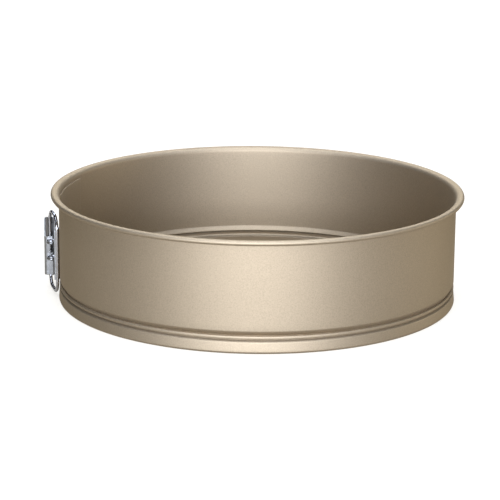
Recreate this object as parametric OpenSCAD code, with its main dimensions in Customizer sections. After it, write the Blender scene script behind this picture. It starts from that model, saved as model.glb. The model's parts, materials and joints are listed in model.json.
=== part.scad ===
// Springform pan: a sprung sheet-steel band with a rolled rim, a loose base held in the
// band's groove, and an over-centre clasp that draws the lapped ends together.
// Millimetres, +Z up. The origin is on the pan's axis at table level, the clasp is at -X.
// Places on the clasp are given by t, the distance along the wall from the seam towards +Y,
// and n, the distance out from the wall.

/* [Band] */
// Inside diameter of the pan
pan_inner_d = 240; // [180:1:320]
// Height from the table to the top of the rim
pan_h = 66.7; // [55:0.1:90]
// Thickness of the band's sheet
band_t = 0.5; // [0.4:0.05:0.7]
// Gap between the two ends of the rim
seam_gap = 0.4; // [0.2:0.1:1]
// How far the inner end runs on under the outer end
lap_len = 44.8; // [30:0.1:60]
// Free gap between the two lapped ends
lap_gap = 0.25; // [0.2:0.05:0.4]
// How far the inner end stays clear of the rim and of the groove
lap_margin = 1.2; // [0.5:0.1:4]

/* [Rolled rim] */
// Radius of the flare from the wall into the rim, on the outer face
rim_flare_r = 2.6; // [1.5:0.1:4]
// Flat width on top of the rim
rim_flat = 0.75; // [0.3:0.05:3]
// Height of the rolled edge
rim_h = 2.9; // [2:0.1:4]
// Gap between the rolled edge's free lip and the wall
rim_lip_gap = 0.6; // [0.4:0.1:1.2]

/* [Base channel] */
// Flat width of the foot that the pan stands on, turned inwards
foot_w = 0.8; // [0.5:0.1:2]
// Radius of the bend from the foot into the skirt, at mid-thickness
foot_r = 1.2; // [0.8:0.1:2]
// Slant length of the skirt under the ledge crease
skirt_len = 5.5; // [4:0.05:8]
// How far the skirt leans in towards its top
skirt_lean_angle = 6; // [2:0.5:10]
// Radius of the crease's bends, at mid-thickness
crease_r = 0.45; // [0.4:0.05:0.6]
// Height of the plain channel wall between the crease and the groove
channel_h = 1.1; // [0.5:0.1:3]
// Radius of the groove's bends, at mid-thickness
groove_r = 0.7; // [0.5:0.05:0.9]
// Slope of the folds' inclined sides, away from the wall
fold_angle = 72; // [60:1:80]
// How far the crease reaches in under the base's edge
ledge_hold = 0.4; // [0.2:0.05:0.8]
// How far the groove reaches in over the base's edge
groove_hold = 1.5; // [0.5:0.05:2]

/* [Base] */
// Thickness of the base's sheet
base_t = 0.8; // [0.5:0.05:1.1]
// Gap between the base's edge and the inner lapped end
base_side_gap = 0.3; // [0.2:0.05:0.5]
// Gap between the base's edge and the ledge under it
base_seat_gap = 0.2; // [0.1:0.05:0.3]
// Flat width of the base's edge flange
base_flange_w = 6; // [3:0.1:12]
// How far the floor lies below the flange
base_recess = 1.8; // [1.5:0.1:3]
// Radius of the step's two bends, at mid-thickness
step_r = 0.6; // [0.5:0.05:0.7]
// Slope of the step down to the floor
step_angle = 84; // [60:1:88]

/* [Clasp] */
// Height of the clasp's middle above the table
clasp_z = 26.7; // [25.5:0.1:36]
// Thickness of the clasp's sheet
clasp_t = 0.8; // [0.6:0.05:1]
// Gap between the clasp's plates and the band they are welded to
weld_gap = 0.03; // [0.02:0.01:0.05]
// Diameter of the spot-weld dimples
weld_d = 4; // [3:0.1:5]
// Depth of the spot-weld dimples
weld_depth = 0.25; // [0.1:0.05:0.4]

/* [Bail] */
// Diameter of the bail's wire
wire_d = 2; // [1.8:0.1:2.8]
// Overall height of the bail
bail_h = 49.4; // [46:0.1:52]
// Radius of the bail's corners at the wire's middle
bail_corner_r = 8; // [4:0.1:9]
// Distance along the wall from the seam to the hooked bar
hook_t = 12; // [11:0.1:16]
// Gap between the bail's hooked bar and the wall
hook_wall_gap = 0.3; // [0.2:0.05:0.6]

/* [Catch plate] */
// Height of the catch plate
catch_h = 31; // [24:0.5:34]
// Gap between the hooked bar and the catch's lip
hook_gap = 0.3; // [0.2:0.05:0.6]
// How far the lip stands out from the wall
lip_n = 3.2; // [2.4:0.1:3.6]
// Inside radius of the lip's bend
lip_bend_r = 0.6; // [0.4:0.1:1]
// Gap from the catch plate's far edge to the seam
catch_seam_gap = 1.6; // [1:0.1:3]

/* [Pivot] */
// Distance along the wall from the seam to the pivot
pivot_t = 2; // [1:0.1:3]
// Distance of the pivot out from the wall
pivot_n = 5.5; // [5:0.1:6.5]
// Diameter of the pivot rivets' shanks
pivot_d = 3; // [2:0.1:3.6]
// Radial clearance of the lever on the pivot rivets
pivot_clear = 0.05; // [0.02:0.01:0.09]
// Radial clearance of the rivets in the hinge plate
rivet_clear = 0.02; // [0.01:0.01:0.05]
// Radius of the ears round the pivot
ear_r = 3; // [2.6:0.1:3.4]
// Thickness of the ears
ear_t = 0.8; // [0.6:0.05:1]
// Distance between the middles of the lever's two ears
ear_span = 11; // [10:0.5:30]
// How far the ears lie in from the ends of the hinge plate that carries them
ear_inset = 0.3; // [0.2:0.05:0.6]
// Gap between the lever's ears and the hinge plate's ears
ear_gap = 0.15; // [0.1:0.05:0.4]
// Diameter of the rivet heads
rivet_head_d = 5; // [4.4:0.1:5.4]
// Height of the rivet heads
rivet_head_h = 0.9; // [0.6:0.1:1.2]

/* [Hinge plate] */
// Gap from the seam to the hinge plate's near edge
hinge_seam_gap = 0.8; // [0.4:0.1:1.2]
// Length of the hinge plate along the wall
hinge_len = 24; // [20:0.5:30]
// Height of the hinge plate's welded tail
hinge_tail_h = 22; // [16:0.5:26]

/* [Lever] */
// Height of the lever's hem
lever_h = 35.6; // [32:0.1:37]
// Outside width of the hem
hem_w = 7.2; // [6.8:0.1:7.6]
// Outside radius of the hem's corners
hem_corner_r = 2; // [1.6:0.1:2.4]
// Distance along the wall from the seam to the hem's near face
hem_t = 7.6; // [7:0.1:9]
// Distance of the hem's middle out from the wall
hem_n = 7.6; // [6.8:0.1:8]
// Gap left where the hem closes on the lever's plate
hem_close_gap = 0.6; // [0.4:0.1:1]
// Gap between the bail's bar and the hem's near wall
bar_gap = 0.6; // [0.3:0.1:1]
// Gap from the upper ear to the cut at the hem's upper end that leaves the bail's bar in view
notch_ear_gap = 0.9; // [0.5:0.1:5]
// Height of the slot in the hem between the ears
slot_h = 6.6; // [3:0.1:7]
// Width of the slot, square to the wall
slot_w = 2.2; // [1.4:0.1:2.6]
// Straight distance from the seam to the lever's round tip
lever_reach = 50; // [40:0.5:60]
// Width of the lever at its tip
tip_w = 18; // [12:0.5:24]
// How far the finger tip turns outwards
tip_angle = 28; // [15:1:40]
// Radius of the bend into the finger tip
tip_bend_r = 14; // [8:0.5:20]
// Straight distance from the seam to the start of the finger tip's bend
tip_start = 34; // [28:0.5:38]

/* [Hidden] */
$fn = 96;
coat = [0.74, 0.67, 0.56];
coat_base = [0.69, 0.62, 0.51];
plated = [0.74, 0.75, 0.77];
plated_dark = [0.62, 0.63, 0.66];
over = 1;
bend_tol = 0.008;
ear_waist = 0.92;

// Band radii and the heights of its pressed features
band_in_r = pan_inner_d / 2;
band_r = band_in_r + band_t;
band_mid_r = band_in_r + band_t / 2;
lap = band_t + lap_gap;
edge_play = lap + base_side_gap;
crease_depth = edge_play + ledge_hold;
groove_depth = edge_play + groove_hold;
foot_steps = [[foot_w, 0], [foot_r, 90 + skirt_lean_angle], [skirt_len, 0]];
ledge_steps = concat(foot_steps, [
    [crease_r, fold_angle - skirt_lean_angle],
    [fold_len(crease_depth, crease_r), 0],
    [crease_r, -90 - fold_angle]]);
channel_steps = concat(ledge_steps, [[crease_depth - 2 * crease_r, 0], [crease_r, 90], [channel_h, 0]]);
groove_steps = concat(channel_steps, [
    [groove_r, 90],
    [groove_depth - 2 * groove_r, 0],
    [groove_r, -90 - fold_angle],
    [fold_len(groove_depth, groove_r), 0],
    [groove_r, fold_angle]]);
wall_foot = last_place(groove_steps);
crease_z = last_place(ledge_steps)[1] + band_t / 2 - crease_r;
groove_top = wall_foot[1] + band_t / 2;
flare_mid_r = rim_flare_r + band_t / 2;
rim_mid_r = (rim_h - band_t) / 2;
wall_top = pan_h - band_t / 2 - flare_mid_r;
lap_low = groove_top + lap_margin;
lap_high = pan_h - rim_flare_r - band_t - lap_margin;
joggle_len = 1.2;

// Base: its edge rests on the inner round of the crease
base_r = band_in_r - edge_play;
ledge_round = crease_r + band_t / 2;
ledge_out = band_mid_r - crease_depth + crease_r - base_r;
ledge_z = crease_z + sqrt(ledge_round * ledge_round - ledge_out * ledge_out);
flange_z = ledge_z + base_seat_gap;
step_len = (base_recess - 2 * step_r * (1 - cos(step_angle))) / sin(step_angle);
floor_r = base_r - base_flange_w - 2 * step_r * sin(step_angle) - step_len * cos(step_angle);

// Clasp: places across the wall
plate_n = weld_gap + clasp_t / 2;
wire_r = wire_d / 2;
hook_n = wire_r + hook_wall_gap;
lip_t = -hook_t + wire_r + hook_gap;
hem_mid = hem_w - clasp_t;
hem_mid_r = hem_corner_r - clasp_t / 2;
hem_side = hem_mid - 2 * hem_mid_r;
hem_mid_t = hem_t + hem_w / 2;
bar_t = hem_t + clasp_t + bar_gap + wire_r;
lever_n = hem_n + hem_mid / 2;
lever_ear_z = ear_span / 2;
hinge_ear_z = lever_ear_z - ear_t - ear_gap;
hinge_h = 2 * (hinge_ear_z + ear_t / 2 + ear_inset);
notch_h = lever_h / 2 - lever_ear_z - ear_t / 2 - notch_ear_gap;
hook_pos = wall_point(-hook_t, hook_n);
pivot_pos = wall_point(pivot_t, pivot_n);
bar_pos = wall_point(bar_t, hem_n);

// Angle in degrees of a distance along the wall
function wall_angle(t) = t / band_r * 180 / PI;

// Flat place [along, out] of a point at t, n, in the tangent plane at the seam
function wall_point(t, n) =
    [(band_r + n) * sin(wall_angle(t)), (band_r + n) * cos(wall_angle(t)) - band_r];

// Where a sheet's mid-line stands, as [x, y, heading], after a share of one step
function after_step(from, step, share) =
    let (h = from[2], turn = share * step[1], r = sign(step[1]) * step[0])
    step[1] == 0
        ? [from[0] + share * step[0] * cos(h), from[1] + share * step[0] * sin(h), h]
        : [from[0] + r * (sin(h + turn) - sin(h)), from[1] - r * (cos(h + turn) - cos(h)), h + turn];

// How many chords follow a step within the bend tolerance
function step_chords(step) =
    step[1] == 0 ? 1 : ceil(abs(step[1]) / (2 * acos(1 - bend_tol / step[0])));

// Places along the mid-line of a whole run of steps
function run_places(steps, i = 0, from = [0, 0, 0]) =
    i == len(steps)
        ? [from]
        : let (n = step_chords(steps[i]))
          concat([for (k = [0 : n - 1]) after_step(from, steps[i], k / n)],
                 run_places(steps, i + 1, after_step(from, steps[i], 1)));

// Where a whole run of steps ends
function last_place(steps) = let (places = run_places(steps)) places[len(places) - 1];

// Length of a fold's inclined side, which brings a fold of this depth back to the wall
function fold_len(depth, r) = (depth - 2 * r * (1 - cos(fold_angle))) / sin(fold_angle);

// Section of bent sheet, drawn from the origin along +X. Each step is a straight run
// [length, 0] or a bend [radius at mid-thickness, angle], positive to the left.
module sheet_run(steps, t) {
    places = run_places(steps);
    last = len(places) - 1;
    polygon([
        for (p = places) [p[0] - t / 2 * sin(p[2]), p[1] + t / 2 * cos(p[2])],
        for (k = [0 : last]) let (p = places[last - k])
            [p[0] + t / 2 * sin(p[2]), p[1] - t / 2 * cos(p[2])]]);
}

// Half section of the band, from its turned-in foot to the rim's free lip
module band_section() {
    steps = concat(groove_steps,
        [[wall_top - groove_top, 0],
         [flare_mid_r, -90],
         [rim_flat, 0],
         [rim_mid_r, -180],
         [rim_flare_r + rim_flat - rim_lip_gap, 0]]);
    translate([band_mid_r - wall_foot[0], band_t / 2]) sheet_run(steps, band_t);
}

// Turns a half section about the pan's axis between two places along the wall
module turn_along(t_from, t_to) {
    rotate([0, 0, 180 - wall_angle(t_to)])
        rotate_extrude(angle = wall_angle(t_to - t_from), $fn = 240) children();
}

// Frame on the wall at t, n: X along the wall, Y outwards, Z up from the clasp's middle
module at_wall(t, n) {
    rotate([0, 0, 90 - wall_angle(t)]) translate([0, band_r + n, clasp_z]) children();
}

// Frame of the tangent plane at the seam, in which wall_point() places are given
module at_seam() {
    at_wall(0, 0) children();
}

// Extrudes a plan section over a height about the clasp's middle
module upright(h) {
    linear_extrude(height = h, center = true) children();
}

// Cuts square through the wall along an outline of [along, up]
module through_wall(depth) {
    rotate([90, 0, 0]) linear_extrude(height = depth, center = true) children();
}

// A shallow round mark where a plate is spot-welded to the band
module weld_dimple(t, z) {
    at_wall(t, weld_gap + clasp_t - weld_depth)
        translate([0, 0, z]) rotate([-90, 0, 0]) cylinder(d = weld_d, h = over);
}

// Plan of an ear: round at the pivot, straight to two corners in what carries it
module ear_plan(corner_a, corner_b) {
    reach = (corner_a + corner_b) / 2 - pivot_pos;
    side = ear_waist * ear_r * [-reach[1], reach[0]] / norm(reach);
    translate(pivot_pos) circle(ear_r);
    polygon([pivot_pos + side, pivot_pos - side, corner_a, corner_b]);
}

module band() {
    full_turn = 2 * PI * band_r;
    inset = band_t / 2;
    color(coat) union() {
        turn_along(seam_gap, full_turn) band_section();
        turn_along(-joggle_len, lap_len)
            translate([band_in_r - lap, lap_low]) square([band_t, lap_high - lap_low]);
        turn_along(inset - joggle_len, -inset)
            translate([band_in_r - lap + inset, lap_low + inset])
                square([lap, lap_high - lap_low - 2 * inset]);
    }
}

module base_plate() {
    steps = [[floor_r, 0], [step_r, step_angle], [step_len, 0], [step_r, -step_angle],
             [base_flange_w, 0]];
    color(coat_base)
        rotate_extrude($fn = 240)
            translate([0, flange_z + base_t / 2 - base_recess]) sheet_run(steps, base_t);
}

module catch_plate() {
    bend = lip_bend_r + clasp_t / 2;
    start_t = lip_t + clasp_t / 2 + bend;
    lip = lip_n - plate_n - bend;
    run = wall_angle(-catch_seam_gap - start_t);
    color(plated) difference() {
        at_wall(start_t, plate_n) upright(catch_h)
            translate([-bend, bend + lip]) rotate(-90)
                sheet_run([[lip, 0], [bend, 90], [band_r + plate_n, -run]], clasp_t);
        for (side = [-1, 1])
            weld_dimple((start_t - catch_seam_gap) / 2, side * catch_h / 3);
    }
}

module hinge_plate() {
    tail_t = hem_t + hem_w / 2;
    far = hinge_seam_gap + hinge_len;
    color(plated) difference() {
        union() {
            intersection() {
                at_wall(hinge_seam_gap, plate_n) upright(max(hinge_h, hinge_tail_h) + over)
                    sheet_run([[band_r + plate_n, -wall_angle(hinge_len)]], clasp_t);
                at_seam() through_wall(4 * hem_w) polygon([
                    [-over, -hinge_h / 2], [hem_t, -hinge_h / 2], [tail_t, -hinge_tail_h / 2],
                    [far + over, -hinge_tail_h / 2], [far + over, hinge_tail_h / 2],
                    [tail_t, hinge_tail_h / 2], [hem_t, hinge_h / 2], [-over, hinge_h / 2]]);
            }
            for (side = [-1, 1])
                at_seam() translate([0, 0, side * hinge_ear_z]) upright(ear_t)
                    ear_plan(wall_point(hinge_seam_gap + clasp_t / 2, plate_n),
                             wall_point(hem_t - clasp_t, plate_n));
        }
        at_seam() translate(pivot_pos)
            cylinder(r = pivot_d / 2 + rivet_clear, h = lever_h, center = true);
        for (side = [-1, 1])
            weld_dimple(far - weld_d, side * hinge_tail_h / 4);
    }
}

// Domed rivet head on the plane z = 0
module rivet_head() {
    dome_r = (pow(rivet_head_d / 2, 2) + pow(rivet_head_h, 2)) / (2 * rivet_head_h);
    rotate_extrude() intersection() {
        translate([0, rivet_head_h - dome_r]) circle(dome_r);
        square([rivet_head_d, rivet_head_h + over]);
    }
}

// Pivot rivet through one pair of ears, on the side +1 above or -1 below the clasp's middle
module pivot_rivet(side) {
    grip = 2 * ear_t + ear_gap + pivot_clear;
    color(plated_dark) at_seam() translate(pivot_pos)
        mirror([0, 0, side < 0 ? 1 : 0]) translate([0, 0, hinge_ear_z - ear_t / 2]) {
            cylinder(d = pivot_d, h = grip);
            translate([0, 0, grip]) rivet_head();
            mirror([0, 0, 1]) rivet_head();
        }
}

module upper_pivot_rivet() {
    pivot_rivet(1);
}

module lower_pivot_rivet() {
    pivot_rivet(-1);
}

// Outline of the lever as [along, up]: full height at the hem, tapering to a round tip
module lever_outline() {
    far = hem_t + hem_w;
    tip_u = lever_reach - tip_w / 2;
    translate([0, -lever_h / 2]) square([far, lever_h]);
    polygon([[far - over, -lever_h / 2], [far, -lever_h / 2], [tip_u, -tip_w / 2],
             [tip_u, tip_w / 2], [far, lever_h / 2], [far - over, lever_h / 2]]);
    translate([tip_u, 0]) circle(d = tip_w);
}

module lever() {
    plate_r = band_r + lever_n;
    plate_run = asin(tip_start / plate_r) - wall_angle(hem_mid_t);
    closing = hem_mid - hem_mid_r - clasp_t / 2 - hem_close_gap;
    steps = [[closing, 0], [hem_mid_r, -90], [hem_side, 0], [hem_mid_r, -90],
             [hem_side, 0], [hem_mid_r, -90], [hem_side / 2, 0],
             [plate_r, -plate_run], [tip_bend_r, tip_angle], [lever_reach - tip_start, 0]];
    color(plated) difference() {
        union() {
            intersection() {
                at_wall(hem_mid_t, lever_n) upright(lever_h)
                    translate([hem_mid / 2, -clasp_t / 2 - hem_close_gap]) rotate(-90)
                        sheet_run(steps, clasp_t);
                at_seam() through_wall(8 * hem_w) lever_outline();
            }
            for (side = [-1, 1])
                at_seam() translate([0, 0, side * lever_ear_z]) upright(ear_t)
                    ear_plan(wall_point(hem_t + clasp_t / 2, hem_n - hem_w / 2 + hem_corner_r),
                             wall_point(hem_t + clasp_t / 2, hem_n + hem_w / 2 - hem_corner_r));
        }
        at_seam() translate(pivot_pos)
            cylinder(r = pivot_d / 2 + pivot_clear, h = lever_h + over, center = true);
        at_wall(hem_t, hem_n) translate([0, 0, lever_h / 2 + over - (notch_h + over) / 2])
            cube([2 * hem_corner_r, hem_w + over, notch_h + over], center = true);
        at_wall(hem_t, hem_n - slot_w / 2)
            cube([2 * (clasp_t + bar_gap), slot_w, slot_h], center = true);
    }
}

module bail() {
    span = norm(bar_pos - hook_pos);
    tilt = atan2(bar_pos[1] - hook_pos[1], bar_pos[0] - hook_pos[0]);
    half = [round(50 * span) / 100, (bail_h - wire_d) / 2];
    inner = half - [bail_corner_r, bail_corner_r];
    color(plated) at_seam() translate((hook_pos + bar_pos) / 2) rotate([90, 0, tilt])
        for (turn = [0, 180]) rotate(turn) {
            translate([-inner[0], half[1]]) rotate([0, 90, 0])
                cylinder(d = wire_d, h = 2 * inner[0]);
            translate([half[0], -inner[1]]) rotate([-90, 0, 0])
                cylinder(d = wire_d, h = 2 * inner[1]);
            translate(inner) rotate_extrude(angle = 90)
                translate([bail_corner_r, 0]) circle(d = wire_d);
            translate([-inner[0], inner[1]]) rotate(90) rotate_extrude(angle = 90)
                translate([bail_corner_r, 0]) circle(d = wire_d);
        }
}

band();
base_plate();
catch_plate();
hinge_plate();
upper_pivot_rivet();
lower_pivot_rivet();
lever();
bail();
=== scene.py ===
"""Springform pan: satin champagne band and base, bright plated clasp, on a white studio floor."""
import json
import math

import bmesh
import bpy
import numpy as np
from mathutils import Matrix, Vector

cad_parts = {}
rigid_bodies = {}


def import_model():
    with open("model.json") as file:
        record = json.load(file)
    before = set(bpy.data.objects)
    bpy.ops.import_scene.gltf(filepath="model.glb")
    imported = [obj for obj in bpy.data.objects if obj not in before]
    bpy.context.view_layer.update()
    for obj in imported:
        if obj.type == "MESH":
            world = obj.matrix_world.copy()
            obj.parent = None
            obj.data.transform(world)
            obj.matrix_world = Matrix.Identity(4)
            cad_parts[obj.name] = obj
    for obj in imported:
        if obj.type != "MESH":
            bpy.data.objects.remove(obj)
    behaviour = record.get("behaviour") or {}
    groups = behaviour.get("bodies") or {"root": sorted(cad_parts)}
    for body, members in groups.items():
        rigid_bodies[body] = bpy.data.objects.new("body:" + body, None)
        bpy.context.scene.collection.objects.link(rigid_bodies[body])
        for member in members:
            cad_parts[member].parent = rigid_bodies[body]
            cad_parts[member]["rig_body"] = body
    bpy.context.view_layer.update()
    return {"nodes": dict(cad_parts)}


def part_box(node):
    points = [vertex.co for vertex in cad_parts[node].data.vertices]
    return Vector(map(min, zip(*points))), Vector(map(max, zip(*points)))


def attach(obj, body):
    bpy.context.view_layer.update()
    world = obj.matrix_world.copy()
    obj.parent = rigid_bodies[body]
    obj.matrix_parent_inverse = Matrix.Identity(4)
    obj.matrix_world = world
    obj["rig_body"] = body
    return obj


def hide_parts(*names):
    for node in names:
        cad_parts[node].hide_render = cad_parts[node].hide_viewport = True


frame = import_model()

MM = 0.001

# Band, in millimetres and degrees: its radius is outside, its bends are those of the sheet's middle
BAND_R = 120.5
BAND_T = 0.5
BAND_MID_R = BAND_R - BAND_T / 2
PAN_H = 66.7
SEAM_GAP = 0.4
FOOT_W = 0.8
FOOT_R = 1.2
SKIRT_LEN = 4.894
SKIRT_LEAN = 6.0
CHANNEL_H = 0.45
FLARE_MID_R = 2.85
RIM_FLAT = 0.75
RIM_MID_R = 1.2
RIM_LIP = 2.75
WALL_TOP = PAN_H - BAND_T / 2 - FLARE_MID_R

# Folds of the band: the bends are at the shelf's edge, at the nose and back into the wall
CREASE_BENDS = (0.5, 0.5, 0.5)
CREASE_DEPTH = 1.45
CREASE_SLOPE = 50.0
GROOVE_BENDS = (0.7, 0.36, 1.5)
GROOVE_DEPTH = 1.7
GROOVE_SLOPE = 35.0

# Lapped inner end of the band
LAP = 0.75
LAP_LEN = 44.8
LAP_MARGIN = 1.2
LAP_HIGH = 62.4
LAP_ROUND = 0.98
JOGGLE_LEN = 4.0
JOGGLE_GROWTH = 2.5
JOGGLE_LEAST = 0.02

# Base
BASE_R = 118.95
BASE_T = 0.8
BASE_FLANGE_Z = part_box("base_plate")[1].z / MM - BASE_T / 2
BASE_FLANGE_W = 6.0
BASE_RECESS = 1.8
BASE_STEP_R = 0.6
BASE_STEP_TURN = 84.0

# Clasp: t runs along the wall from the seam, n out from the wall
CLASP_Z = 26.7
CLASP_T = 0.8
SHEET_EDGE = 0.3
PLATE_GAP = 0.03
PLATE_N = PLATE_GAP + CLASP_T / 2
WELD_R = 2.0
WELD_DEPTH = 0.25
WELD_EDGE = 0.6
CATCH_H = 31.0
CATCH_END_T = -1.6
LIP_T = -10.7
LIP_N = 3.2
LIP_BEND = 1.0

# Bail
WIRE_R = 1.0
BAIL_H = 49.4
BAIL_CORNER_R = 8.0
HOOK_PLACE = (-12.0, 1.3)
BAR_PLACE = (10.0, 7.6)

# Pivot, its ears and rivets
PIVOT_PLACE = (2.0, 5.5)
PIVOT_R = 1.5
PIVOT_CLEAR = 0.05
EAR_R = 3.0
EAR_T = 0.8
EAR_EDGE = 0.2
EAR_WAIST = 0.92
LEVER_EAR_Z = 5.5
HINGE_EAR_Z = 4.55
RIVET_HEAD_R = 2.5
RIVET_HEAD_H = 0.9

# Hinge plate
HINGE_START_T = 0.8
HINGE_LEN = 24.0
HINGE_H = 10.5
HINGE_TAIL_H = 22.0
HINGE_CORNER = 1.5
HINGE_ROUND = 0.95

# Lever: its hem, the openings in the hem, and its tip
LEVER_H = 35.6
LEVER_REACH = 50.0
HEM_W = 7.2
HEM_MID = HEM_W - CLASP_T
HEM_BEND = 1.6
HEM_SIDE = HEM_MID - 2 * HEM_BEND
HEM_T = 7.6
HEM_N = 7.6
HEM_CLOSE_GAP = 0.6
NOTCH_DEPTH = 2.0
NOTCH_H = 11.0
SLOT_DEPTH = 1.4
SLOT_H = 6.6
SLOT_W = 2.2
TIP_W = 18.0
TIP_ANGLE = 28.0
TIP_BEND = 14.0
TIP_START = 34.0
TIP_ROUND = 0.999

# Spacing and number of places on the surfaces: millimetres on straights and arcs, degrees on bends
STRAIGHT_STEP = 1.6
ARC_STEP = 2.1
BEND_STEP = 9.0
END_ANGLES = np.radians([78.0, 52.0, 26.0])
END_PLACES = len(END_ANGLES) + 1
EDGE_ANGLES = np.radians([80.0, 52.0, 26.0])
BAND_PLACES = 289
WALL_PLACES = 14
LAP_ROWS = 12
LAP_PLACES = 44
LAP_STEP = 1.0
LAP_END_SHARES = np.array([0.0, 0.52, 0.88, 1.0])
JOGGLE_PLACES = 17
BASE_PLACES = 240
BASE_FLOOR_PLACES = 24
CATCH_ROWS = 120
HINGE_ROWS = 100
HINGE_PLACES = 100
LEVER_ROWS = 90
HEM_PLACES = 12
TIP_PLACES = 40
EAR_PLACES = 144
EAR_RINGS = 6
BAIL_CORNER_PLACES = 17
WIRE_PLACES = 28
DOME_PLACES = 14
RIVET_PLACES = 56

# Least slope that faces a side, distance in metres at which points merge, and angle of a sharp edge
SLIGHT = 1e-6
MERGE_DISTANCE = 1e-8
SHARP_ANGLE = 42.0

# Finishes: scales are per metre, the bump height is in metres, and a share is how far a value varies
COAT_COLOUR = np.array([0.36, 0.284, 0.187])
COAT_GLOSS = (0.45, 0.40, 0.33, 1)
COAT_ROUGHNESS = 0.6
FLAKE_SCALE = 1500.0
FLAKE_DETAIL = 3.0
FLAKE_SHARE = 0.1
FLAKE_BUMP = 0.05
POLISH_SCALE = 260.0
POLISH_DETAIL = 4.0
POLISH_SHARE = 0.2
MOTTLE_SCALE = 330.0
MOTTLE_DETAIL = 5.0
MOTTLE_BUMP = 1.8
GRAIN_SPREAD = (0.3, 0.7)
BUMP_HEIGHT = 0.0002

# Floor and lamps, in metres
FLOOR_R = 8.0
FLOOR_SIDES = 96
FLOOR_COLOUR = (0.26, 0.232, 0.188, 1)
FLOOR_LIGHT = (1.0, 0.99, 0.955, 1)
FLOOR_ROUGHNESS = 0.9
FLOOR_SHINE = 0.1
FLOOR_GLOW = (0.74, 1.0)
FLOOR_GLOW_REACH = (0.2, 0.9)
FLOOR_GLOSS_SHARE = 0.3
LAMP_COLOUR = (1.0, 1.12, 1.40)
FILL_COLOUR = (1.0, 0.98, 0.90)
WORLD_STRENGTH = 0.02

# Camera, fitted to the photograph, in millimetres and radians; its near and far limits are in metres
CAMERA_DISTANCE = 1319.556
CAMERA_ELEVATION = 0.28253
CAMERA_YAW = -0.00335
CAMERA_PITCH = 0.02076
CAMERA_ROLL = -0.00893
CAMERA_LENS = 154.255
CAMERA_SENSOR = 36.0
CAMERA_NEAR = 0.05
CAMERA_FAR = 50.0


# Surfaces

def sheet_line(steps, start, heading):
    """Mid-line of a bent sheet, as points and headings in radians.

    The line goes forward by each straight step (length, 0) and turns on a circle by each bend
    (radius, degrees), positive to the left: from heading h to h + a about a centre at one radius
    square to the heading. A third item in a straight step gives its own spread from 0 to 1.
    """
    points = [np.array([start], float)]
    headings = [np.array([heading], float)]
    here = np.array(start, float)
    for size, turn, *spread in steps:
        if turn == 0:
            shares = spread[0] if spread else np.linspace(0, 1, 2 + int(size / STRAIGHT_STEP))
            ahead = size * np.array([math.cos(heading), math.sin(heading)])
            line = here + shares[1:, None] * ahead
            way = np.full(len(line), heading)
        else:
            arc_len = size * math.radians(abs(turn))
            shares = np.linspace(0, 1, 2 + int(abs(turn) / BEND_STEP + arc_len / ARC_STEP))
            way = heading + shares[1:] * math.radians(turn)
            side = math.copysign(size, turn)
            arc = np.stack([np.sin(way) - math.sin(heading), math.cos(heading) - np.cos(way)], 1)
            line = here + side * arc
        points.append(line)
        headings.append(way)
        here = line[-1]
        heading = way[-1]
    return np.concatenate(points), np.concatenate(headings)


def rounded_ends(points, headings, thickness):
    """Gives a mid-line round ends, and returns it with its headings and half thicknesses.

    The line is shortened by half the thickness at both ends, and closed there by places at
    half the thickness times the sine of an angle, where the sheet is its cosine thick.
    """
    half = thickness / 2
    ahead = np.stack([np.cos(headings), np.sin(headings)], 1)
    first = points[0] + half * ahead[0]
    last = points[-1] - half * ahead[-1]
    inner = points[1:-1]
    out = half * np.sin(END_ANGLES)[:, None]
    line = np.concatenate([first - out * ahead[0], [first], inner, [last],
                           last + out[::-1] * ahead[-1]])
    turns = np.concatenate([np.full(END_PLACES, headings[0]), headings[1:-1],
                            np.full(END_PLACES, headings[-1])])
    thin = half * np.cos(END_ANGLES)
    width = np.concatenate([thin, np.full(len(inner) + 2, half), thin[::-1]])
    return line, turns, width


def faces_of_sheet(points, headings, half):
    """The two faces of a sheet: its mid-line plus and minus the half thickness, square to it."""
    across = np.stack([-np.sin(headings), np.cos(headings)], 1)
    offset = half[:, None] * across
    return points + offset, points - offset


def smooth_step(share):
    """A smooth rise from 0 to 1: three times the square of the share less twice its cube."""
    share = np.clip(share, 0, 1)
    return share * share * (3 - 2 * share)


def quarter_round(share, limit):
    """Height of a quarter circle of radius 1 at a share of its radius, up to a limit near its end."""
    return np.sqrt(1 - np.clip(share, 0, limit) ** 2)


def soft_edges(shares):
    """Adds a quarter circle to both ends of a row of shares.

    Returns the shares, with the first and the last repeated, the sine of the angle by which each
    place reaches past its end, and the cosine to which the sheet closes in there.
    """
    angles = np.concatenate([-EDGE_ANGLES, np.zeros(len(shares)), EDGE_ANGLES[::-1]])
    return np.pad(shares, len(EDGE_ANGLES), mode="edge"), np.sin(angles), np.cos(angles)


def grid_quads(rows, columns, wrap_rows=False, wrap_columns=False):
    """Corner numbers of the quads between neighbours on a grid, closed round where it wraps."""
    i = np.arange(rows if wrap_rows else rows - 1)
    j = np.arange(columns if wrap_columns else columns - 1)
    i, j = np.meshgrid(i, j, indexing="ij")
    down = (i + 1) % rows
    right = (j + 1) % columns
    corners = [i * columns + j, down * columns + j, down * columns + right, i * columns + right]
    return np.stack(corners, -1)


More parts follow.
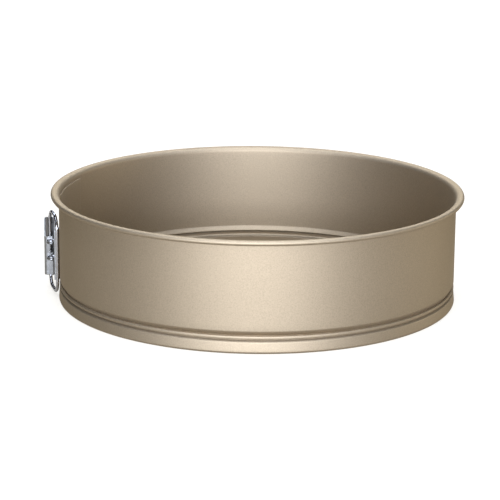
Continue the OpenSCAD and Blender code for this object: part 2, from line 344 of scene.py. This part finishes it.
def sheet_solid(front, back, keep=None, wrap=False):
    """Closed shell of a sheet from its two faces, two matching grids of points.

    Quads are kept where keep is true, and points of no kept quad are dropped. Each edge with a
    kept quad on one side only, at the rim of the sheet or of a hole in it, gets a wall from one
    face to the other.
    """
    rows, columns = front.shape[:2]
    count = rows * columns
    quads = grid_quads(rows, columns, wrap_rows=wrap)
    quads = quads[keep] if keep is not None else quads.reshape(-1, 4)
    edges = np.stack([quads, np.roll(quads, -1, axis=1)], -1).reshape(-1, 2)
    code = edges[:, 0] * count + edges[:, 1]
    rim = edges[~np.isin(code, edges[:, 1] * count + edges[:, 0])]
    walls = np.stack([rim[:, 1], rim[:, 0], rim[:, 0] + count, rim[:, 1] + count], 1)
    points = np.concatenate([front.reshape(-1, 3), back.reshape(-1, 3)])
    faces = np.concatenate([quads, quads[:, ::-1] + count, walls])
    a, b, c = (points[quads[:, k]] for k in (0, 1, 2))
    outward = a - points[quads[:, 0] + count]
    if (np.cross(b - a, c - b) * outward).sum() < 0:
        faces = faces[:, ::-1]
    used, places = np.unique(faces, return_inverse=True)
    return points[used], places.reshape(faces.shape)


def joined(*solids):
    """Several shells as one list of points and faces."""
    starts = np.cumsum([0] + [len(points) for points, _ in solids])
    points = np.concatenate([points for points, _ in solids])
    faces = np.concatenate([faces + start for (_, faces), start in zip(solids, starts)])
    return points, faces


def revolved(profile, angles):
    """A half section of (radius, height) points carried round the pan's axis."""
    r = profile[:, None, 0]
    z = np.broadcast_to(profile[:, None, 1], (len(profile), len(angles)))
    return np.stack([r * np.cos(angles), r * np.sin(angles), z], -1)


def wall_place(t, n):
    """Plan place of a point t along the wall and n out from it: a circle about the pan's axis."""
    angle = np.asarray(t, float) / BAND_R
    r = BAND_R + np.asarray(n, float)
    return np.stack([-r * np.cos(angle), r * np.sin(angle)], -1)


def from_wall_frame(points, t, n):
    """Plan places of (along, out) points drawn in the frame that stands on the wall at t, n."""
    angle = t / BAND_R
    along = points[..., 0]
    out = BAND_R + n + points[..., 1]
    return np.stack([along * math.sin(angle) - out * math.cos(angle),
                     along * math.cos(angle) + out * math.sin(angle)], -1)


def upright_sheet(plan_a, plan_b, half_height, rows, edge, middle_z=CLASP_Z):
    """Two faces of a sheet that stands upright on its plan lines.

    At every place the height is the middle plus a share, from -1 to 1, of the half height
    there. Within the edge radius of the top and bottom the two faces close in on each other
    as a quarter circle.
    """
    half_height = np.broadcast_to(half_height, len(plan_a))[:, None]
    share, reach, squeeze = soft_edges(np.linspace(-1, 1, rows))
    soft = np.minimum(edge, half_height / 2)
    height = middle_z + share * (half_height - soft) + reach * soft
    middle = (plan_a + plan_b)[:, None] / 2
    half = (plan_a - plan_b)[:, None] / 2 * squeeze[None, :, None]
    return [np.concatenate([middle + side * half, height[..., None]], -1) for side in (1, -1)]


# Band and base

def fold(depth, bends, slope):
    """Steps of an inward fold on a sheet that runs upwards: a level shelf and an inclined side.

    The bends are those at the shelf's edge, at the nose and back into the wall. The inclined side
    is as long as brings the fold back to the wall: its depth, less what the two bends at its ends
    take up, over the sine of its slope.
    """
    edge, nose, top = bends
    angle = math.radians(slope)
    side = (depth - (nose + top) * (1 - math.cos(angle))) / math.sin(angle)
    return [(edge, 90), (depth - edge - nose, 0), (nose, -90 - slope), (side, 0), (top, slope)]


def lower_band():
    """Steps from the turned-in foot over the skirt, the crease and the channel to the groove's top.

    The crease is a fold upside down, and starts from the skirt's lean.
    """
    crease = fold(CREASE_DEPTH, CREASE_BENDS, CREASE_SLOPE)[::-1]
    crease[0] = (CREASE_BENDS[-1], CREASE_SLOPE - SKIRT_LEAN)
    return [(FOOT_W, 0), (FOOT_R, 90 + SKIRT_LEAN), (SKIRT_LEN, 0), *crease,
            (CHANNEL_H, 0), *fold(GROOVE_DEPTH, GROOVE_BENDS, GROOVE_SLOPE)]


def groove_top():
    """How far out from the foot's inner end the groove's top lies, and its height."""
    points, _ = sheet_line(lower_band(), (0, BAND_T / 2), 0)
    return points[-1]


def band_shell():
    """The band's half section carried round from the seam to the seam, as one closed sheet."""
    out, wall_low = groove_top()
    steps = [*lower_band(), (WALL_TOP - wall_low, 0, np.linspace(0, 1, WALL_PLACES)),
             (FLARE_MID_R, -90), (RIM_FLAT, 0), (RIM_MID_R, -180), (RIM_LIP, 0)]
    points, headings = sheet_line(steps, (BAND_MID_R - out, BAND_T / 2), 0)
    inner, outer = faces_of_sheet(*rounded_ends(points, headings, BAND_T))
    angles = np.linspace(math.pi - SEAM_GAP / BAND_R, -math.pi, BAND_PLACES)
    return sheet_solid(revolved(outer, angles), revolved(inner, angles))


def lapped_end():
    """The inner end of the band, which leaves the wall in a smooth step and runs on behind the seam.

    Its mid-line is an arc about the pan's axis. Over the joggle it moves inwards by the lap, and
    grows from nothing to the sheet's thickness inside the wall. Its far end is rounded.
    """
    half_t = BAND_T / 2
    t = np.concatenate([np.linspace(-JOGGLE_LEN, 0, JOGGLE_PLACES),
                        np.linspace(LAP_STEP, LAP_LEN - LAP_STEP, LAP_PLACES),
                        LAP_LEN - half_t + half_t * LAP_END_SHARES])
    share = np.clip(1 + t / JOGGLE_LEN, 0, 1)
    n = -half_t - LAP * smooth_step(share)
    growth = np.clip(JOGGLE_GROWTH * share, JOGGLE_LEAST, 1)
    half = half_t * growth * quarter_round((t - LAP_LEN + half_t) / half_t, LAP_ROUND)
    low = groove_top()[1] + LAP_MARGIN
    faces = upright_sheet(wall_place(t, n + half), wall_place(t, n - half), (LAP_HIGH - low) / 2,
                          LAP_ROWS, half_t, (low + LAP_HIGH) / 2)
    return sheet_solid(*faces)


def base_shell():
    """The base's half section, from its middle out over the step to the flange, turned full circle.

    The step's straight side makes up the recess that its two bends leave.
    """
    slope = math.radians(BASE_STEP_TURN)
    side = (BASE_RECESS - 2 * BASE_STEP_R * (1 - math.cos(slope))) / math.sin(slope)
    floor_r = BASE_R - BASE_FLANGE_W - 2 * BASE_STEP_R * math.sin(slope) - side * math.cos(slope)
    steps = [(floor_r, 0, np.linspace(0, 1, BASE_FLOOR_PLACES)), (BASE_STEP_R, BASE_STEP_TURN),
             (side, 0), (BASE_STEP_R, -BASE_STEP_TURN), (BASE_FLANGE_W, 0)]
    points, headings = sheet_line(steps, (0, BASE_FLANGE_Z - BASE_RECESS), 0)
    line, turns, half = (values[END_PLACES:] for values in rounded_ends(points, headings, BASE_T))
    line[0, 0] = 0
    angles = np.linspace(0, 2 * math.pi, BASE_PLACES, endpoint=False)
    top, under = (revolved(face, angles) for face in faces_of_sheet(line, turns, half))
    return sheet_solid(top.transpose(1, 0, 2), under.transpose(1, 0, 2), wrap=True)


# Clasp

def pressed(faces, t, marks):
    """Presses round spot-weld marks into the outer face of a plate, towards the pan's axis.

    A mark is full inside its radius, and fades out smoothly over the soft edge about that radius.
    """
    outer, inner = faces
    z = outer[..., 2] - CLASP_Z
    depth = np.zeros(z.shape)
    for mark_t, mark_z in marks:
        away = np.hypot(t[:, None] - mark_t, z - mark_z)
        depth += WELD_DEPTH * smooth_step((WELD_R - away) / WELD_EDGE + 0.5)
    way = outer[..., :2] / np.linalg.norm(outer[..., :2], axis=-1, keepdims=True)
    sunk = np.concatenate([outer[..., :2] - depth[..., None] * way, outer[..., 2:]], -1)
    return sunk, inner


def ear(corners, z):
    """A flat ear with a pivot hole, as rings from the hole out to its outline.

    Its outline in each direction from the pivot is the larger of the ear's radius and the
    distance to the nearest side of the four-sided plate that joins it to its sheet.
    """
    pivot = wall_place(*PIVOT_PLACE)
    a, b = (wall_place(*corner) for corner in corners)
    reach = (a + b) / 2 - pivot
    side = EAR_WAIST * EAR_R * np.array([-reach[1], reach[0]]) / np.linalg.norm(reach)
    if side @ (b - a) < 0:
        a, b = b, a
    outline = np.array([-side, a - pivot, b - pivot, side])
    run = np.roll(outline, -1, axis=0) - outline
    normal = np.stack([run[:, 1], -run[:, 0]], 1)
    normal *= np.sign((normal * (outline - outline.mean(0))).sum(1))[:, None]
    beta = np.linspace(0, 2 * math.pi, EAR_PLACES, endpoint=False)
    way = np.stack([np.cos(beta), np.sin(beta)], 1)
    slope = way @ normal.T
    gap = (normal * outline).sum(1)
    far = np.where(slope > SLIGHT, gap / np.maximum(slope, SLIGHT), np.inf).min(1)
    radius = np.maximum(far, EAR_R)
    hole = PIVOT_R + PIVOT_CLEAR
    share, past, squeeze = soft_edges(np.linspace(0, 1, EAR_RINGS))
    flat_w = radius[:, None] - hole - 2 * EAR_EDGE
    r = hole + EAR_EDGE + share * flat_w + EAR_EDGE * past
    plan = pivot + r[..., None] * way[:, None]
    height = np.broadcast_to(EAR_T / 2 - EAR_EDGE * (1 - squeeze), r.shape)
    upper = np.concatenate([plan, (CLASP_Z + z + height)[..., None]], -1)
    lower = np.concatenate([plan, (CLASP_Z + z - height)[..., None]], -1)
    return sheet_solid(upper, lower, wrap=True)


def catch_shell():
    """The catch plate: a lip that stands out, a bend and an arc along the wall, at full height."""
    start_t = LIP_T + CLASP_T / 2 + LIP_BEND
    lip = LIP_N - PLATE_N - LIP_BEND
    run = math.degrees((CATCH_END_T - start_t) / BAND_R)
    steps = [(lip, 0), (LIP_BEND, 90), (BAND_R + PLATE_N, -run)]
    points, headings = sheet_line(steps, (-LIP_BEND, LIP_BEND + lip), -math.pi / 2)
    sides = faces_of_sheet(*rounded_ends(points, headings, CLASP_T))
    plans = [from_wall_frame(side, start_t, PLATE_N) for side in sides]
    t = np.arctan2(plans[0][:, 1], -plans[0][:, 0]) * BAND_R
    faces = upright_sheet(*plans, CATCH_H / 2, CATCH_ROWS, SHEET_EDGE)
    mark_t = (start_t + CATCH_END_T) / 2
    return sheet_solid(*pressed(faces, t, [(mark_t, -CATCH_H / 3), (mark_t, CATCH_H / 3)]))


def hinge_shell():
    """The hinge plate: an arc along the wall, low at its ears and taller at its welded tail.

    Its two ends are rounded, and so are the tail's corners.
    """
    t = HINGE_START_T + np.linspace(0, HINGE_LEN, HINGE_PLACES)
    inside = np.minimum(t - t[0], t[-1] - t) / (CLASP_T / 2)
    half = CLASP_T / 2 * quarter_round(1 - inside, HINGE_ROUND)
    tail_t = HEM_T + HEM_W / 2
    height = np.interp(t, [HEM_T, tail_t], [HINGE_H / 2, HINGE_TAIL_H / 2])
    corner = quarter_round(1 - (t[-1] - t) / HINGE_CORNER, 1)
    height = height - HINGE_CORNER * (1 - corner)
    faces = upright_sheet(wall_place(t, PLATE_N + half), wall_place(t, PLATE_N - half), height,
                          HINGE_ROWS, SHEET_EDGE)
    mark_t = HINGE_START_T + HINGE_LEN - 2 * WELD_R
    marks = [(mark_t, -HINGE_TAIL_H / 4), (mark_t, HINGE_TAIL_H / 4)]
    corners = [(HINGE_START_T + CLASP_T / 2, PLATE_N), (HEM_T - CLASP_T, PLATE_N)]
    ears = [ear(corners, z) for z in (HINGE_EAR_Z, -HINGE_EAR_Z)]
    return joined(sheet_solid(*pressed(faces, t, marks)), *ears)


def lever_plans():
    """Plan lines of the lever's faces: round the hem, along an arc over the wall and out to the tip.

    The arc ends at the tip's start. The tip bends outwards and runs straight on to the lever's
    reach, both measured square to the line from the pan's axis to the seam.
    """
    hem_t = HEM_T + HEM_W / 2
    lever_n = HEM_N + HEM_MID / 2
    plate_r = BAND_R + lever_n
    plate_run = math.degrees(math.asin(TIP_START / plate_r) - hem_t / BAND_R)
    closing = HEM_MID - HEM_BEND - CLASP_T / 2 - HEM_CLOSE_GAP
    way_out = math.radians(TIP_ANGLE - plate_run) - hem_t / BAND_R
    bend_run = TIP_BEND * (math.sin(way_out) - math.sin(way_out - math.radians(TIP_ANGLE)))
    tip_run = (LEVER_REACH - TIP_START - bend_run) / math.cos(way_out)
    fine = np.linspace(0, 1, HEM_PLACES)
    to_tip = 1 - (1 - np.linspace(0, 1, TIP_PLACES)) ** 2
    steps = [(closing, 0, fine), (HEM_BEND, -90), (HEM_SIDE, 0, fine), (HEM_BEND, -90),
             (HEM_SIDE, 0, fine), (HEM_BEND, -90), (HEM_SIDE / 2, 0), (plate_r, -plate_run),
             (TIP_BEND, TIP_ANGLE), (tip_run, 0, to_tip)]
    start = (HEM_MID / 2, -CLASP_T / 2 - HEM_CLOSE_GAP)
    points, headings = sheet_line(steps, start, -math.pi / 2)
    sides = faces_of_sheet(*rounded_ends(points, headings, CLASP_T))
    return [from_wall_frame(side, hem_t, lever_n) for side in sides]


def lever_openings(faces):
    """Marks the quads in the notch at the hem's upper end and in the slot between the ears.

    The middle of each quad is measured along, out from and up the wall at the hem's near side.
    """
    middle = (faces[0] + faces[1]) / 2
    x, y, z = np.moveaxis((middle[:-1, :-1] + middle[1:, 1:]) / 2, -1, 0)
    angle = HEM_T / BAND_R
    along = x * math.sin(angle) + y * math.cos(angle)
    out = y * math.sin(angle) - x * math.cos(angle) - BAND_R - HEM_N
    up = z - CLASP_Z
    notch = (along < NOTCH_DEPTH) & (up > LEVER_H / 2 - NOTCH_H)
    slot = (along < SLOT_DEPTH) & (abs(out + SLOT_W / 2) < SLOT_W / 2) & (abs(up) < SLOT_H / 2)
    return notch | slot


def lever_shell():
    """The lever: a hem rolled round the bail's bar, an arc over the wall and a turned-out tip.

    Its half height is full at the hem, falls in a straight line and ends in a half circle. The
    notch at the hem's upper end and the slot between the ears are left out of the grid.
    """
    plans = lever_plans()
    along = (plans[0][:, 1] + plans[1][:, 1]) / 2
    round_start = LEVER_REACH - TIP_W / 2
    height = np.interp(along, [HEM_T + HEM_W, round_start], [LEVER_H / 2, TIP_W / 2])
    height = height * quarter_round((along - round_start) / (TIP_W / 2), TIP_ROUND)
    faces = upright_sheet(*plans, height, LEVER_ROWS, SHEET_EDGE)
    ear_t = HEM_T + CLASP_T / 2
    corners = [(ear_t, HEM_N - HEM_SIDE / 2), (ear_t, HEM_N + HEM_SIDE / 2)]
    ears = [ear(corners, z) for z in (LEVER_EAR_Z, -LEVER_EAR_Z)]
    return joined(sheet_solid(*faces, keep=~lever_openings(faces)), *ears)


def bail_shell():
    """The bail: a round wire carried along a rectangle with round corners, closed on itself.

    A corner's points lie one corner radius from its centre; straight runs join the corners. The
    wire's circle stands square to the line, between the line's own side and the bail's normal.
    """
    hook = wall_place(*HOOK_PLACE)
    bar = wall_place(*BAR_PLACE)
    span = bar - hook
    along = np.append(span / np.linalg.norm(span), 0)
    up = np.array([0, 0, 1.0])
    centre = np.append((hook + bar) / 2, CLASP_Z)
    half = np.array([np.linalg.norm(span) / 2, BAIL_H / 2 - WIRE_R])
    turn = np.linspace(0, math.pi / 2, BAIL_CORNER_PLACES)
    angles = np.concatenate([turn + k * math.pi / 2 for k in range(4)])
    signs = np.repeat([[1, 1], [-1, 1], [-1, -1], [1, -1]], len(turn), axis=0)
    side = np.stack([np.cos(angles), np.sin(angles)], 1)
    flat = signs * (half - BAIL_CORNER_R) + BAIL_CORNER_R * side
    line = centre + flat[:, :1] * along + flat[:, 1:] * up
    outward = side[:, :1] * along + side[:, 1:] * up
    normal = np.cross(along, up)
    ring = np.linspace(0, 2 * math.pi, WIRE_PLACES, endpoint=False)
    circle = np.cos(ring)[:, None] * outward[:, None] + np.sin(ring)[:, None] * normal
    points = line[:, None] + WIRE_R * circle
    quads = grid_quads(*points.shape[:2], wrap_rows=True, wrap_columns=True)
    return points.reshape(-1, 3), quads.reshape(-1, 4)


def rivet_shell(side):
    """A pivot rivet: two domes, each part of a sphere, on a plain shank, turned about the pivot.

    The side is 1 for the upper rivet and -1 for the lower, which is the same upside down.
    """
    low = HINGE_EAR_Z - EAR_T / 2
    high = LEVER_EAR_Z + EAR_T / 2 + PIVOT_CLEAR
    dome_r = (RIVET_HEAD_R ** 2 + RIVET_HEAD_H ** 2) / (2 * RIVET_HEAD_H)
    r = RIVET_HEAD_R * np.sin(np.linspace(0, math.pi / 2, DOME_PLACES))
    rise = np.sqrt(dome_r ** 2 - r ** 2) - dome_r + RIVET_HEAD_H
    lower = np.stack([r, low - rise], 1)
    upper = np.stack([r[::-1], high + rise[::-1]], 1)
    shank = np.array([[PIVOT_R, low], [PIVOT_R, high]])
    profile = np.concatenate([lower, shank, upper])
    profile[:, 1] *= side
    turn = np.linspace(0, 2 * math.pi, RIVET_PLACES, endpoint=False)
    points = revolved(profile, turn)
    points[..., :2] += wall_place(*PIVOT_PLACE)
    points[..., 2] += CLASP_Z
    quads = grid_quads(*points.shape[:2], wrap_columns=True).reshape(-1, 4)
    return points.reshape(-1, 3), quads if side < 0 else quads[:, ::-1]


# Finishes

def new_finish(name, **sockets):
    """A material with one Principled shader, its plain values set on the shader's own sockets."""
    finish = bpy.data.materials.new(name)
    finish.use_nodes = True
    shader = finish.node_tree.nodes["Principled BSDF"]
    for socket, value in sockets.items():
        shader.inputs[socket.replace("_", " ")].default_value = value
    return finish, finish.node_tree.nodes, finish.node_tree.links, shader


def grain(nodes, links, scale, detail, middle, share):
    """Fine noise on Object coordinates, as a height and as a colour.

    The colour runs from the middle one less its share to the middle one plus its share.
    """
    place = nodes.new("ShaderNodeTexCoord")
    noise = nodes.new("ShaderNodeTexNoise")
    noise.inputs["Scale"].default_value = scale
    noise.inputs["Detail"].default_value = detail
    ramp = nodes.new("ShaderNodeValToRGB")
    ends = zip(ramp.color_ramp.elements, GRAIN_SPREAD, (1 - share, 1 + share))
    for element, position, part in ends:
        element.position = position
        element.color = (*(middle * part), 1)
    links.new(place.outputs["Object"], noise.inputs["Vector"])
    links.new(noise.outputs["Fac"], ramp.inputs["Fac"])
    return noise.outputs["Fac"], ramp.outputs["Color"]


def add_bump(nodes, links, shader, height, strength):
    """Turns a height into small bumps, weakened by the strength."""
    bump = nodes.new("ShaderNodeBump")
    bump.inputs["Strength"].default_value = strength
    bump.inputs["Distance"].default_value = BUMP_HEIGHT
    links.new(height, bump.inputs["Height"])
    links.new(bump.outputs["Normal"], shader.inputs["Normal"])


def champagne_coat(name, shade):
    """Satin champagne coat: metal flakes in a warm lacquer, seen as a fine speckle."""
    finish, nodes, links, shader = new_finish(
        name, Metallic=1.0, Roughness=COAT_ROUGHNESS, Specular_Tint=COAT_GLOSS)
    # The shade scales the coat's colour down; below 1 it is painted shade
    flakes, tint = grain(nodes, links, FLAKE_SCALE, FLAKE_DETAIL, COAT_COLOUR * shade, FLAKE_SHARE)
    links.new(tint, shader.inputs["Base Color"])
    add_bump(nodes, links, shader, flakes, FLAKE_BUMP)
    return finish


def plated_steel(name, colour, roughness, mottle):
    """Bright plated steel with an uneven polish.

    The mottle is the share by which its tint varies, and it sets the height of its slight ripple.
    """
    finish, nodes, links, shader = new_finish(name, Metallic=1.0)
    _, polish = grain(nodes, links, POLISH_SCALE, POLISH_DETAIL, np.full(3, roughness), POLISH_SHARE)
    links.new(polish, shader.inputs["Roughness"])
    ripple, tint = grain(nodes, links, MOTTLE_SCALE, MOTTLE_DETAIL, np.array(colour), mottle)
    links.new(tint, shader.inputs["Base Color"])
    add_bump(nodes, links, shader, ripple, MOTTLE_BUMP * mottle)
    return finish


def white_floor(name):
    """Pale paper that glows white to the camera, and more dimly to gloss.

    Its glow rises smoothly with the distance from the pan, so that the shadow round the foot
    shows and the far floor is white where the lamps fall off.
    """
    finish, nodes, links, shader = new_finish(
        name, Base_Color=FLOOR_COLOUR, Roughness=FLOOR_ROUGHNESS, Specular_IOR_Level=FLOOR_SHINE,
        Emission_Color=FLOOR_LIGHT)
    rays = nodes.new("ShaderNodeLightPath")
    seen = rays.outputs["Is Camera Ray"]
    for kind, share in (("Is Glossy Ray", FLOOR_GLOSS_SHARE), ("Is Transmission Ray", 1.0)):
        either = nodes.new("ShaderNodeMath")
        either.operation = "MULTIPLY_ADD"
        links.new(rays.outputs[kind], either.inputs[0])
        either.inputs[1].default_value = share
        links.new(seen, either.inputs[2])
        seen = either.outputs["Value"]
    place = nodes.new("ShaderNodeTexCoord")
    away = nodes.new("ShaderNodeVectorMath")
    away.operation = "LENGTH"
    links.new(place.outputs["Object"], away.inputs[0])
    spread = nodes.new("ShaderNodeMapRange")
    spread.interpolation_type = "SMOOTHSTEP"
    spread.inputs["From Min"].default_value = FLOOR_GLOW_REACH[0]
    spread.inputs["From Max"].default_value = FLOOR_GLOW_REACH[1]
    spread.inputs["To Min"].default_value = FLOOR_GLOW[0]
    spread.inputs["To Max"].default_value = FLOOR_GLOW[1]
    links.new(away.outputs["Value"], spread.inputs["Value"])
    glow = nodes.new("ShaderNodeMath")
    glow.operation = "MULTIPLY"
    links.new(seen, glow.inputs[0])
    links.new(spread.outputs["Result"], glow.inputs[1])
    links.new(glow.outputs["Value"], shader.inputs["Emission Strength"])
    return finish


# Making of the scene

def add_piece(name, solid, node, finish):
    """Puts a shell, in millimetres, into the scene in the place of a CAD node."""
    points, faces = solid
    mesh = bpy.data.meshes.new(name)
    mesh.from_pydata((points * MM).tolist(), [], faces.tolist())
    shape = bmesh.new()
    shape.from_mesh(mesh)
    bmesh.ops.remove_doubles(shape, verts=shape.verts, dist=MERGE_DISTANCE)
    shape.to_mesh(mesh)
    shape.free()
    mesh.shade_smooth()
    mesh.set_sharp_from_angle(angle=math.radians(SHARP_ANGLE))
    mesh.materials.append(finish)
    piece = bpy.data.objects.new(name, mesh)
    bpy.context.scene.collection.objects.link(piece)
    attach(piece, frame["nodes"][node]["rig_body"])
    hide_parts(node)


def add_floor():
    """A wide round white floor at table level."""
    angles = np.linspace(0, 2 * math.pi, FLOOR_SIDES, endpoint=False)
    ring = FLOOR_R * np.stack([np.cos(angles), np.sin(angles), np.zeros(FLOOR_SIDES)], 1)
    mesh = bpy.data.meshes.new("floor")
    mesh.from_pydata(ring.tolist(), [], [list(range(FLOOR_SIDES))])
    mesh.materials.append(white_floor("white_paper"))
    floor = bpy.data.objects.new("floor", mesh)
    bpy.context.scene.collection.objects.link(floor)


def add_soft_box(name, azimuth, elevation, distance, width, height, power, colour=LAMP_COLOUR):
    """A rectangular soft box aimed at the pan.

    It is placed by its azimuth from the camera's side and its elevation, both in degrees. The
    camera doesn't see it.
    """
    lamp = bpy.data.lights.new(name, "AREA")
    lamp.shape = "RECTANGLE"
    lamp.size = width
    lamp.size_y = height
    lamp.energy = power
    lamp.color = colour
    a = math.radians(azimuth)
    e = math.radians(elevation)
    back = Vector((math.sin(a) * math.cos(e), -math.cos(a) * math.cos(e), math.sin(e)))
    holder = bpy.data.objects.new(name, lamp)
    holder.rotation_mode = "QUATERNION"
    holder.rotation_quaternion = (-back).to_track_quat("-Z", "Y")
    holder.location = back * distance + Vector((0, 0, PAN_H / 2 * MM))
    holder.visible_camera = False
    bpy.context.scene.collection.objects.link(holder)


def add_world():
    """Even dim white light from all round."""
    world = bpy.data.worlds.new("studio")
    world.use_nodes = True
    background = world.node_tree.nodes["Background"]
    background.inputs["Color"].default_value = (1, 1, 1, 1)
    background.inputs["Strength"].default_value = WORLD_STRENGTH
    bpy.context.scene.world = world


def add_camera():
    """The camera stands on the -Y side, at the fitted distance and elevation from the origin.

    It looks along the line to the origin, turned by the yaw and the pitch, and rolls about that
    line.
    """
    e = CAMERA_ELEVATION
    yaw = CAMERA_YAW
    pitch = CAMERA_PITCH - e
    level = math.cos(pitch)
    ahead = Vector((math.sin(yaw) * level, math.cos(yaw) * level, math.sin(pitch)))
    right = Vector((math.cos(yaw), -math.sin(yaw), 0))
    up = right.cross(ahead)
    roll = Matrix.Rotation(CAMERA_ROLL, 3, "Z")
    turn = Matrix((right, up, -ahead)).transposed() @ roll.inverted()
    place = Vector((0, -math.cos(e), math.sin(e))) * CAMERA_DISTANCE * MM
    data = bpy.data.cameras.new("camera")
    data.lens = CAMERA_LENS
    data.sensor_width = CAMERA_SENSOR
    data.clip_start = CAMERA_NEAR
    data.clip_end = CAMERA_FAR
    camera = bpy.data.objects.new("camera", data)
    camera.matrix_world = Matrix.Translation(place) @ turn.to_4x4()
    bpy.context.scene.collection.objects.link(camera)
    bpy.context.scene.camera = camera


# Pieces: the base's coat is the band's coat darkened as painted shade; the platings differ in colour,
# roughness and mottle
coat = champagne_coat("champagne_coat", 1.0)
# Painted shade: the base's coat is the band's coat darkened to 0.78, to offset the top lamp's light
# on the base inside the pan
painted_shade_base_coat = champagne_coat("champagne_painted_shade_coat", 0.78)
plate = plated_steel("plated_sheet", (0.30, 0.293, 0.275), 0.34, 0.14)
wire = plated_steel("plated_wire", (0.48, 0.465, 0.455), 0.24, 0.03)
rivet = plated_steel("rivet_steel", (0.46, 0.45, 0.445), 0.28, 0.05)

add_piece("band_skin", joined(band_shell(), lapped_end()), "band", coat)
add_piece("base_skin", base_shell(), "base_plate", painted_shade_base_coat)
add_piece("catch_sheet", catch_shell(), "catch_plate", plate)
add_piece("hinge_sheet", hinge_shell(), "hinge_plate", plate)
add_piece("lever_sheet", lever_shell(), "lever", plate)
add_piece("bail_wire", bail_shell(), "bail", wire)
add_piece("upper_rivet", rivet_shell(1), "upper_pivot_rivet", rivet)
add_piece("lower_rivet", rivet_shell(-1), "lower_pivot_rivet", rivet)

# Studio: azimuth, elevation, distance, width, height and power of each lamp
add_floor()
add_soft_box("low_key", -1, 4, 1.4, 1.5, 0.2, 8)
add_soft_box("key", -1, 14, 1.4, 1.5, 0.25, 28)
add_soft_box("high_key", 0, 58, 1.4, 0.7, 0.4, 5)
add_soft_box("fill", 100, 8, 1.4, 0.6, 0.3, 3.5, FILL_COLOUR)
add_soft_box("back", 180, 35, 1.4, 1.4, 0.5, 12)
add_soft_box("top", 0, 85, 1.2, 1.0, 1.0, 17)
add_world()
add_camera()
bpy.context.scene.view_settings.view_transform = "Standard"
